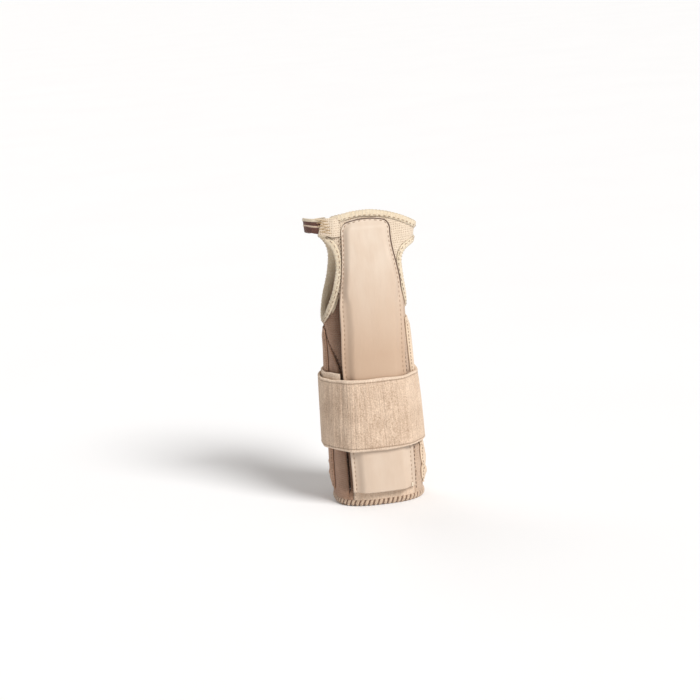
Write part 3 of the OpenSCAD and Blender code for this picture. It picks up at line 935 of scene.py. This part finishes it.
def folded_edge(s, z):
    """The folded edge of the cover stands up beside the gusset, less so in the palm."""
    inset = np.maximum(pocket_half(z), 1) * (1 - np.abs(s))
    return 0.7 * (1 - ease((z - 148) / 12)) * np.exp(-(((inset - 0.9) / 0.8) ** 2))


def pocket_thick(U, V, B, Z):
    s = 2 * U - 1
    return COVER_T + margin_pad(Z) * (1 - pocket_rise(s, Z)) + folded_edge(s, Z)


cover = sheet_solid(
    "pocket_cover", pocket_place,
    lambda U, V, B, Z: cover_low(2 * U - 1, Z) + pocket_thick(U, V, B, Z) / 2 - 0.6 * groove(2 * U - 1, Z)
    + 0.12 * np.sin(Z * 0.11 + 2 * U) * pocket_rise(2 * U - 1, Z),
    pocket_thick, (POCKET_W, POCKET_TOP_Z - POCKET_LOW_Z), (0.45, 1.1), MATERIALS["pocket"],
)
finish_piece(cover, "brace", "pocket", "pocket_cover")


def pocket_line(side):
    """A line up one edge of the pocket, in from it, as bearing and height."""
    def path(t):
        t = np.clip(t, POCKET_LOW_Z + 0.5, POCKET_TOP_Z - 1.6)
        inset = np.maximum(pocket_half(t) - stitch_in(t), 1)
        return bearing_at(pocket_mid(t) + side * inset, t), t

    return path


def pocket_outline(t, inset=0.0):
    """The pocket's edge at an angle round its arch, from its thumb side, -90, over its top, 0, to 90.
    Past either end it runs down the side, a millimetre for each unit of t."""
    angle = np.radians(np.clip(t, -90, 90))
    turn_z = POCKET_TOP_Z - POCKET_CORNER_R
    flat = float(pocket_half(turn_z)) - POCKET_CORNER_R
    z = turn_z + (POCKET_CORNER_R - inset) * np.cos(angle) - np.maximum(np.abs(t) - 90, 0)
    bend = flat * np.clip(np.asarray(t) / 40, -1, 1) + (POCKET_CORNER_R - inset) * np.sin(angle)
    x = np.where(np.abs(t) > 90, np.sign(t) * (pocket_half(z) - inset), bend)
    return bearing_at(pocket_mid(z) + x, z), z


STITCH_PITCH, STITCH_LEN = 3.3, 2.0
pocket_stitches = joined(
    dashes(pocket_line(-1), (POCKET_LOW_Z + 2, 197.0), STITCH_PITCH, STITCH_LEN, cover_top),
    dashes(pocket_line(1), (POCKET_LOW_Z + 2, 197.0), STITCH_PITCH, STITCH_LEN, cover_top),
    dashes(lambda t: pocket_outline(t, 1.4), (-86.0, 86.0), STITCH_PITCH, STITCH_LEN, cover_top),
)


def palm_row(inset):
    """A row beside the pocket's thumb side edge in the palm; a negative inset is out on the laminate."""
    return lambda t: (bearing_at(pocket_mid(t) - pocket_half(t) + inset, t), t + 0.0)


# Each row's inset, how much higher than 153 mm it starts, and how high it lies
PALM_ROWS = ((-2.6, 0.0, 0.15), (-1.3, 1.3, 0.15), (0.5, 0.4, lambda b, z: cover_top(b, z) + 0.1))
palm_dots = joined(*(
    dashes(palm_row(inset), (153.0 + start, 196.0 + start), 2.6, 1.0, lift)
    for inset, start, lift in PALM_ROWS
))
dots = tubes("palm_cover_stitching", *palm_dots, 0.3, MATERIALS["beige_thread"])
finish_piece(dots, "brace", "pocket")
stitching = tubes("pocket_stitching", *pocket_stitches, 0.27, MATERIALS["beige_thread"])
finish_piece(stitching, "brace", "pocket")
# A dark tube round the pocket's arch and down its little finger side edge: partly the pocket's outline, drawn
# dark as painted shade of the groove beside the cover's folded edge
OUTLINE_SHADE_R, OUTLINE_SHADE_D = 0.38, 1.75
OUTLINE_SHADE_RING = [(OUTLINE_SHADE_R * math.cos(a), OUTLINE_SHADE_D + OUTLINE_SHADE_R * math.sin(a)) for a in np.linspace(0, TAU, 8, endpoint=False)]
outline_shade = swept_band(
    "pocket_outline_painted_shade", lambda t: pocket_outline(t, 0.2), (-50.0, 138.0), OUTLINE_SHADE_RING, 0.8, MATERIALS["dark_thread"]
)
finish_piece(outline_shade, "brace", "pocket")


def bar_tack_row(k):
    """One stitch of the bar tack near the pocket's lower corner."""
    bearings = np.linspace(35.5, 37.9, 7)
    row = sleeve(bearings, POCKET_LOW_Z + 0.8 + 0.45 * k, 3.0)
    return row[None], surface_frame(bearings, POCKET_LOW_Z + 1.0 + np.zeros(7))[2][None]


bar_tack = tubes("pocket_bar_tack", *joined(*map(bar_tack_row, range(6))), 0.3, MATERIALS["cream_thread"])
finish_piece(bar_tack, "brace", "pocket")


# ---------------------------------------------------------------- folded bindings and their overlock thread
# About how far the tape reaches in from the edge; then its section and a turn of thread over it, as
# (w, d) points
TAPE_W = 3.5
TAPE_SECTION = [
    (3.6, 0.15), (3.4, 0.75), (2.6, 0.95), (1.2, 1.0), (0.0, 0.9), (-0.8, 0.35), (-1.15, -0.9),
    (-0.8, -2.15), (0.0, -2.7), (1.2, -2.8), (2.6, -2.75), (3.4, -2.55), (3.6, -1.95),
    (2.4, -1.85), (0.4, -1.7), (0.2, -0.9), (0.4, -0.1), (2.4, 0.05),
]
WRAP_SECTION = [
    (3.9, 0.2), (3.2, 0.95), (2.0, 1.12), (0.8, 1.15), (-0.3, 0.95), (-1.05, 0.3), (-1.32, -0.9),
    (-1.05, -2.1), (-0.3, -2.75), (0.8, -2.95), (2.0, -2.92), (3.2, -2.75), (3.9, -2.0),
]
PALM_EDGE = (-50.5, 89.9)
DORSAL_EDGE = (90.1, 231.0)
THUMB_EDGE = (-230.0, 51.0)


def edge_path(t):
    return t + 0.0, top_edge(t)


def thumb_path(t):
    return rim(THUMB, t)


def ulnar_path(t):
    return rim(ULNAR, t)


def bound_edge(name, path, ends, looped=False):
    pucker = lambda run: 0.03 * np.sin(TAU * run / 3.6) + 0.04 * np.sin(run * 0.31)
    tape = swept_band(name, path, ends, TAPE_SECTION, 0.6, MATERIALS["binding"], looped, swell=pucker)
    finish_piece(tape, "brace", "binding", name)
    over = wraps(path, ends, 2.4, WRAP_SECTION, 1.7, margin=0 if looped else 2)
    if looped:
        over = over[0][:-1], over[1][:-1]
    edge = dashes(path, ends, 3.4, 2.1, 0.93, w=TAPE_W - 0.9, margin=2)
    sewn = tubes(name.replace("binding", "overlock"), *over, 0.2, MATERIALS["cream_thread"], flat=0.7)
    chain = tubes(name.replace("binding", "chain"), *edge, 0.24, MATERIALS["beige_thread"])
    finish_piece(sewn, "brace", "binding")
    finish_piece(chain, "brace", "binding")
    return [tape, sewn, chain]


palm_edge = bound_edge("palm_edge_binding", edge_path, PALM_EDGE)
dorsal_edge = bound_edge("dorsal_edge_binding", edge_path, DORSAL_EDGE)
thumb_edge = bound_edge("thumb_opening_binding", thumb_path, THUMB_EDGE)
ulnar_edge = bound_edge("ulnar_opening_binding", ulnar_path, (0.0, 360.0), looped=True)


# ---------------------------------------------------------------- rolled hem
HEM_MID_D, HEM_HALF_T = -1.2, 1.45
hem_ring = [
    (HEM_H / 2 + (HEM_H / 2 - 0.5) * math.sin(a), HEM_MID_D - HEM_HALF_T * math.cos(a))
    for a in np.linspace(0, TAU, 20, endpoint=False)
]


def hem_path(t):
    return -t, 0.0 * t


def hem_shape(b, z, d):
    return limb(b, HEM_H / 2, d) * np.array([1, 1, 0]) + np.stack([0 * z, 0 * z, z], -1)


hem = swept_band("hem_binding", hem_path, (0.0, 360.0), hem_ring, 0.8, MATERIALS["hem"], True, hem_shape)
finish_piece(hem, "brace", "binding", "hem_binding")
hem_wrap = [
    (HEM_H / 2 + (HEM_H / 2 - 0.42) * math.sin(a), HEM_MID_D + (HEM_HALF_T + 0.02) * math.cos(a))
    for a in np.linspace(math.radians(100), math.radians(-100), 15)
]
turns = wraps(hem_path, (0.0, 360.0), 3.4, hem_wrap, 3.0, hem_shape, 0)
hem_thread = tubes(
    "hem_overlock", turns[0][:-1], turns[1][:-1], 1.05, MATERIALS["hem_thread"], flat=0.42, sides=10
)
finish_piece(hem_thread, "brace", "binding")


# ---------------------------------------------------------------- side stay casings
def casing_top(casing):
    def top(B, Z):
        s = (B - casing[0]) / casing[1]
        room = ease((1 - np.abs(s)) / 0.55) * ease((casing[2] - Z) / 7) * ease((Z - CASING_LOW_Z) / 7)
        return 0.3 + 1.25 * room

    return top


def make_casing(name, casing, material):
    low = casing_top(casing)
    piece = sheet_solid(
        name, lambda U, V: (casing[0] + casing[1] * (2 * U - 1), mix(CASING_LOW_Z, casing[2], V)),
        lambda U, V, B, Z: low(B, Z) + 0.4, 0.9, (23, 119), (0.7, 0.36), MATERIALS[material],
        ribs=ribs_round(1.5, 0.08),
    )
    finish_piece(piece, "brace", "elastic", name)
    rows = []
    for share in (-0.84, 0.84):
        path = lambda t, s=share: (casing[0] + casing[1] * s + 0 * t, t + 0.0)
        rows.append(
            dashes(path, (CASING_LOW_Z + 2, casing[2] - 2), 2.5, 1.7, lambda b, z: low(b, z) + 0.85)
        )
    sewn = tubes(name + "_stitching", *joined(*rows), 0.26, MATERIALS["beige_thread"])
    finish_piece(sewn, "brace", "elastic")
    return piece, sewn


# The thumb side's casing takes the darker elastic, as painted shade; the other takes the lighter casing
# cloth, as painted light
radial_casing = make_casing("radial_stay_casing", RADIAL_CASING, "elastic")
ulnar_casing = make_casing("ulnar_stay_casing", ULNAR_CASING, "casing")


# ---------------------------------------------------------------- seams and the sewn-on web strap
def seam_line(sign, extra, back=False):
    def path(t):
        b = bearing_at(SEAM_X, t) + extra
        return sign * (180 - b if back else b), t + 0.0

    return path


def gusset_line(extra):
    """A line beside the seam of the radial gusset, some degrees further round from the pocket."""
    return lambda t: (-(gusset_seam(t) + extra), t + 0.0)


SEAM_PITCH, SEAM_STITCH, SEAM_LIFT = 3.0, 2.0, 0.05


def seam(path, low_z, high_z, shape=sleeve):
    return dashes(path, (low_z, high_z), SEAM_PITCH, SEAM_STITCH, SEAM_LIFT, shape=shape)


seams = joined(
    seam(gusset_line(1.2), 8.0, 134.0, sunk),
    seam(gusset_line(-2.2), 40.0, 132.0, sunk),
    seam(seam_line(1, 2.2), 8.0, 160.0),
    seam(seam_line(-1, 2.2, back=True), 8.0, 150.0),
    seam(seam_line(-1, -2.2, back=True), 8.0, 160.0),
    seam(seam_line(1, 2.2, back=True), 8.0, 156.0),
    seam(seam_line(1, -2.2, back=True), 8.0, 158.0),
)
seam_thread = tubes("seam_stitching", *seams, 0.25, MATERIALS["dark_thread"])
finish_piece(seam_thread, "brace", "elastic")

PATCH_BEARINGS = (-64.0, -46.5)


def patch_place(U, V):
    B = mix(*PATCH_BEARINGS, U)
    low = web_place((B - WEB_ENDS[0]) / (WEB_ENDS[1] - WEB_ENDS[0]), 0 * V)[1]
    high = WEB_Z[1] - 0.1
    lean = mix(4.5, -1.5, U) * (0.7 - V)
    return B - lean, mix(low - 2.2 * ease((U - 0.1) / 0.6), high, V)


def patch_lift(b):
    return 2.15 - 1.35 * ease((b + 51.5) / 4.5)


patch = sheet_solid(
    "web_end_patch", patch_place, lambda U, V, B, Z: patch_lift(B), 0.5, (9, 11), (0.4, 0.4),
    MATERIALS["laminate"],
)
finish_piece(patch, "brace", "laminate")


def zigzag_rows(low_u, high_u, count, lift):
    """Thread that runs to and fro across the end of the web strap."""
    rows = []
    for k, start in enumerate(np.linspace(0.06, 0.84, count)):
        us = np.linspace(*((low_u, high_u) if k % 2 else (high_u, low_u)), 14)
        us = us + 0.055 * (0.5 - start)
        bearings, heights = web_place(us, start + np.linspace(0, 0.14, 14))
        height = lift(bearings) + 0.1 * np.cos(np.linspace(0, 5 * TAU, 14))
        rows.append((sleeve(bearings, heights, height)[None], surface_frame(bearings, heights)[2][None]))
    return joined(*rows)


zigzags = joined(
    zigzag_rows(0.79, 0.93, 9, lambda b: 2.45 - 1.2 * ease((b + 51.5) / 4.5)),
    zigzag_rows(0.02, 0.14, 7, lambda b: web_lift(b) + 0.72),
)
zigzag = finish_piece(tubes("web_zigzag", *zigzags, 0.24, MATERIALS["gold_thread"]), "brace", "binding")


# ---------------------------------------------------------------- forearm strap
def over_casing(bearing, casing):
    return 1 - ease((np.abs(bearing - casing[0]) - casing[1]) / 14)


def first_lift(b):
    return 0.35 + 2.15 * np.maximum(over_casing(b, RADIAL_CASING), over_casing(b + 360, ULNAR_CASING))


def front_lift(b):
    return mix(5.3, 2.6, ease((np.abs(b) - 32) / 22))


def second_lift(b):
    return first_lift(b) + STRAP_T + PASS_GAP


def tab_lift(b):
    return second_lift(b) + (HOOK_T + 0.3) * ease((-CORNER_BACK - b) / 6)


def strap_lift(turn):
    """Inner offset along the whole strap. turn runs from -52 at the sewn end, falling past -360
    at the middle of the palm side, to the end on the back of the forearm."""
    first = first_lift(turn)
    front = front_lift(turn + 360)
    second = tab_lift(turn + 360)
    lift = mix(first, front, ease((-turn - 290) / 16))
    return mix(lift, second, ease((-turn - 412) / 14))


STRAP_START, STRAP_END = -52.0, -360.0 - TAB_END - 4
STRAP_CUTS = (STRAP_START, -235.0, -385.0, -456.0, STRAP_END)
JOINT_TURNS = (-360.0 + CORNER_FRONT, -360.0 - CORNER_FRONT, -360.0 - CORNER_BACK)
STRAP_CROWN = 0.25
puckers = rng.uniform(0, TAU, 6)
RIB_PITCH = 1.8
PUCKER_H, PUCKER_TURNS = 0.075, (0.31, 0.53, 0.87, 1.27, 1.9)


def strap_run(turn):
    """Length along the strap, in millimetres, from its sewn end."""
    t = np.linspace(STRAP_START, STRAP_END, 900)
    p = limb(t, (STRAP_LOW_Z + STRAP_TOP_Z) / 2, strap_lift(t) + STRAP_T / 2)
    run = np.concatenate([[0], np.cumsum(np.linalg.norm(np.diff(p, axis=0), axis=1))])
    return np.interp(-turn, -t, run)


def strap_ribs(U, V, B, Z):
    """Cross ribs, uneven puckers between them and a bead along each selvedge."""
    run = strap_run(B)
    edge = np.minimum(V, 1 - V) * (STRAP_TOP_Z - STRAP_LOW_Z)
    sway = 1.2 * np.sin(run * 0.37 + Z * 0.05) + 1.5 * np.sin(run * 0.17 - Z * 0.07 + puckers[0])
    drawn = 0.03 + 0.05 * np.exp(-(((np.cos(np.radians(B + 12)) - 1) / 0.2) ** 2))
    rib = drawn * np.sin(TAU * run / RIB_PITCH + sway)
    wave = sum(
        PUCKER_H * np.sin(run * k + Z * 0.05 * (i - 2) + puckers[i]) for i, k in enumerate(PUCKER_TURNS)
    )
    return (rib + wave) * ease(edge / 3) + 0.28 * np.exp(-(((edge - 1.0) / 0.7) ** 2)) * 0.8


def first_pass_rise(turn):
    """The first pass stands a little above the second on the thumb side."""
    return 3.6 * ease((turn + 190) / 60)


def strap_piece(name, from_turn, to_turn, cuts):
    length = float(strap_run(to_turn) - strap_run(from_turn))

    def place(U, V):
        turn = mix(to_turn, from_turn, U)
        edge = np.sin(strap_run(turn) * 0.23) * 0.35 + np.sin(strap_run(turn) * 0.071 + 1) * 0.5
        return turn, mix(STRAP_LOW_Z, STRAP_TOP_Z, V) + edge * (2 * V - 1) * 0.6 + first_pass_rise(turn)

    def lift(U, V, B, Z):
        return strap_lift(B) + STRAP_T / 2 + STRAP_CROWN * (1 - (2 * V - 1) ** 2)

    return sheet_solid(
        name, place, lift, STRAP_T - STRAP_CROWN, (length, STRAP_TOP_Z - STRAP_LOW_Z), (0.33, 1.3),
        MATERIALS["strap_loop"], shape=limb, cuts=cuts, ribs=strap_ribs,
    )


def strap_point(turn):
    """A place in the middle of the strap, in metres."""
    return limb(turn, (STRAP_LOW_Z + STRAP_TOP_Z) / 2, strap_lift(turn) + STRAP_T) * MM


STRAP_NAMES = ("strap_fixed_run", "strap_front_half", "strap_radial_half", "strap_end_half")
STRAP_NODES = ("strap_fixed_run", "strap_front_run", "strap_radial_run", "strap_tab_run")
strap = []
for i, name in enumerate(STRAP_NAMES):
    piece = strap_piece(name, STRAP_CUTS[i], STRAP_CUTS[i + 1], (i < 3, i > 0))
    if i == 0:
        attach(piece, "brace")
    else:
        joint = JOINT_TURNS[i - 1]
        start, end = strap_point(np.array(joint + 5.0)), strap_point(np.array(joint - 5.0))
        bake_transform(piece)
    finish_piece(piece, None, "strap_loop", STRAP_NODES[i])
    strap.append(piece)


# ---------------------------------------------------------------- bound end, hook patch and their thread
def band_place(from_turn, to_turn, margin):
    """Across the strap between two bearings, short of its edges by a margin."""
    return lambda U, V: (mix(from_turn, to_turn, U), mix(STRAP_LOW_Z + margin, STRAP_TOP_Z - margin, V))


end_binding = sheet_solid(
    "strap_end_binding", band_place(-TAB_END - 5, -TAB_END + 1, -0.2),
    lambda U, V, B, Z: tab_lift(B) + STRAP_T / 2 + 0.15, STRAP_T + 1.1,
    (3.6, STRAP_TOP_Z - STRAP_LOW_Z + 0.4), (0.4, 0.8), MATERIALS["binding"], shape=limb,
)
finish_piece(end_binding, "strap_end", "binding", "strap_end_binding")
hook = sheet_solid(
    "hook_tab", band_place(-TAB_END - 1.5, -CORNER_BACK - 7.5, 1.5),
    lambda U, V, B, Z: second_lift(B) + 0.3, HOOK_T, (15, 48), (0.5, 0.5), MATERIALS["hook"], shape=limb,
    ribs=lambda U, V, B, Z: 0.14 * np.cos(TAU * B / 1.1) * np.cos(TAU * Z / 1.1),
)
finish_piece(hook, "strap_end", "hook", "hook_tab")


def end_row(bearing, lift):
    """Stitches up the strap near its end, at a height over its outer face."""
    return dashes(
        lambda t: (bearing + 0 * t, t + 0.0), (STRAP_LOW_Z + 1, STRAP_TOP_Z - 1), 2.6, 1.8,
        lambda b, z: tab_lift(b) + STRAP_T + lift, shape=limb,
    )


end_stitches = joined(end_row(-TAB_END + 0.8, 0.45), end_row(-CORNER_BACK - 9.5, 0.05))
end_thread = tubes("strap_end_stitching", *end_stitches, 0.26, MATERIALS["beige_thread"])
finish_piece(end_thread, "strap_end", "binding")


# ---------------------------------------------------------------- palm pad
PAD_Z, PAD_MARGIN, PAD_T = (150, 204), 14, 1.5


def pad_place(U, V):
    Z = mix(*PAD_Z, V)
    from_bearing = -panel_arc(THUMB, RADIAL_CORNER, Z) + PAD_MARGIN
    return mix(from_bearing, panel_arc(ULNAR, ULNAR_CORNER, Z) - PAD_MARGIN, U), Z


pad = sheet_solid(
    "palm_pad", pad_place, lambda U, V, B, Z: -CLOTH_T - 1.1, PAD_T, (30, 54), (1.4, 1.4), MATERIALS["foam"],
    shape=limb,
)
finish_piece(pad, "brace", "foam", "palm_pad")


def cut(piece, held, rests_on, *with_pieces):
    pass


for panel in (palm_lower, dorsal, radial_gusset, radial_side, ulnar_gusset):
    cut(panel, "stretched", [hem], *((seam_thread,) if panel is radial_side else ()))
cut(palm_upper, "stretched", [palm_lower])
cut(ulnar_band, "stretched", [palm_upper, dorsal])
cut(web, "stretched", [palm_upper, dorsal], patch, zigzag, *web_trim)
cut(cover, "laid", [palm_lower, palm_upper], stitching, dots, outline_shade, bar_tack)
for tape, sewn, chain in (palm_edge, dorsal_edge, thumb_edge, ulnar_edge):
    cut(tape, "folded", [dorsal if tape is dorsal_edge[0] else palm_upper], sewn, chain)
cut(radial_casing[0], "laid", [radial_side], radial_casing[1])
cut(ulnar_casing[0], "laid", [ulnar_gusset], ulnar_casing[1])
cut(strap[0], "stretched", [dorsal, radial_casing[0]])
cut(strap[1], "stretched", [strap[0], cover])
cut(strap[2], "laid", [strap[1]])
cut(strap[3], "laid", [strap[2]], end_binding, end_thread)
cut(hook, "laid", [strap[3]])


# ---------------------------------------------------------------- what the CAD shows as it is
for node, slot in (
    ("palmar_stay", "stay_metal"), ("radial_side_stay", "spring_metal"), ("ulnar_side_stay", "spring_metal"),
    ("side_stay_tips", "tip_vinyl"),
):
    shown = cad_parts[node]
    shown.data.materials.clear()
    shown.data.materials.append(MATERIALS[slot])


# ---------------------------------------------------------------- stage, light and camera
def make_floor():
    side = 25.0
    mesh = bpy.data.meshes.new("floor")
    corners = [(-side, -side, 0), (side, -side, 0), (side, side, 0), (-side, side, 0)]
    mesh.from_pydata(corners, [], [(0, 1, 2, 3)])
    material, tree, shader = blank("floor", 0.8)
    shade = noise(tree, millimetres(tree), 0.004, 2.0)
    tree.links.new(tint(tree, shade, linear("fafbfd"), linear("f6f7f9")), shader.inputs["Base Color"])
    mesh.materials.append(material)
    floor = bpy.data.objects.new("floor", mesh)
    bpy.context.scene.collection.objects.link(floor)


def sun(name, azimuth, elevation, strength, angle, colour=(1, 1, 1)):
    """Soft distant light, from an azimuth in degrees right of the palm's front."""
    data = bpy.data.lights.new(name, "SUN")
    data.energy, data.angle, data.color = strength, math.radians(angle), colour
    lamp = bpy.data.objects.new(name, data)
    a, e = math.radians(azimuth), math.radians(elevation)
    toward = Vector((math.sin(a) * math.cos(e), -math.cos(a) * math.cos(e), math.sin(e)))
    lamp.rotation_mode = "QUATERNION"
    lamp.rotation_quaternion = (-toward).to_track_quat("-Z", "Y")
    bpy.context.scene.collection.objects.link(lamp)


def make_camera():
    azimuth, elevation, roll = math.radians(-9.0), math.radians(12.0), math.radians(4.4)
    distance, aim = 1.4, Vector((-0.0148, 0.0, 0.111))
    back = Vector((
        math.sin(azimuth) * math.cos(elevation), -math.cos(azimuth) * math.cos(elevation), math.sin(elevation)
    ))
    data = bpy.data.cameras.new("camera")
    data.lens, data.sensor_width = 100.0, 36.0
    camera = bpy.data.objects.new("camera", data)
    camera.location = aim + back * distance
    camera.rotation_mode = "QUATERNION"
    camera.rotation_quaternion = (-back).to_track_quat("-Z", "Y") @ Quaternion((0, 0, 1), -roll)
    bpy.context.scene.collection.objects.link(camera)
    bpy.context.scene.camera = camera


def make_world():
    """A warm, soft light all round, with a plain pale backdrop where the sky itself is seen."""
    world = bpy.data.worlds.new("world")
    world.use_nodes = True
    tree = world.node_tree
    sky = tree.nodes["Background"]
    sky.inputs["Color"].default_value = (1, 0.95, 0.9, 1)
    sky.inputs["Strength"].default_value = 0.36
    backdrop = add(tree, "ShaderNodeBackground", {"Color": (0.94, 0.935, 0.93, 1), "Strength": 1.0})
    seen = add(tree, "ShaderNodeLightPath").outputs["Is Camera Ray"]
    shown = add(tree, "ShaderNodeMixShader", {0: seen, 1: sky.outputs[0], 2: backdrop.outputs[0]})
    tree.links.new(shown.outputs[0], tree.nodes["World Output"].inputs["Surface"])
    bpy.context.scene.world = world


make_floor()
sun("key", 32, 42, 3.0, 22, (1, 0.99, 0.975))
sun("back", 200, 40, 0.5, 40)
make_world()
bpy.context.scene.view_settings.view_transform = "Standard"
make_camera()
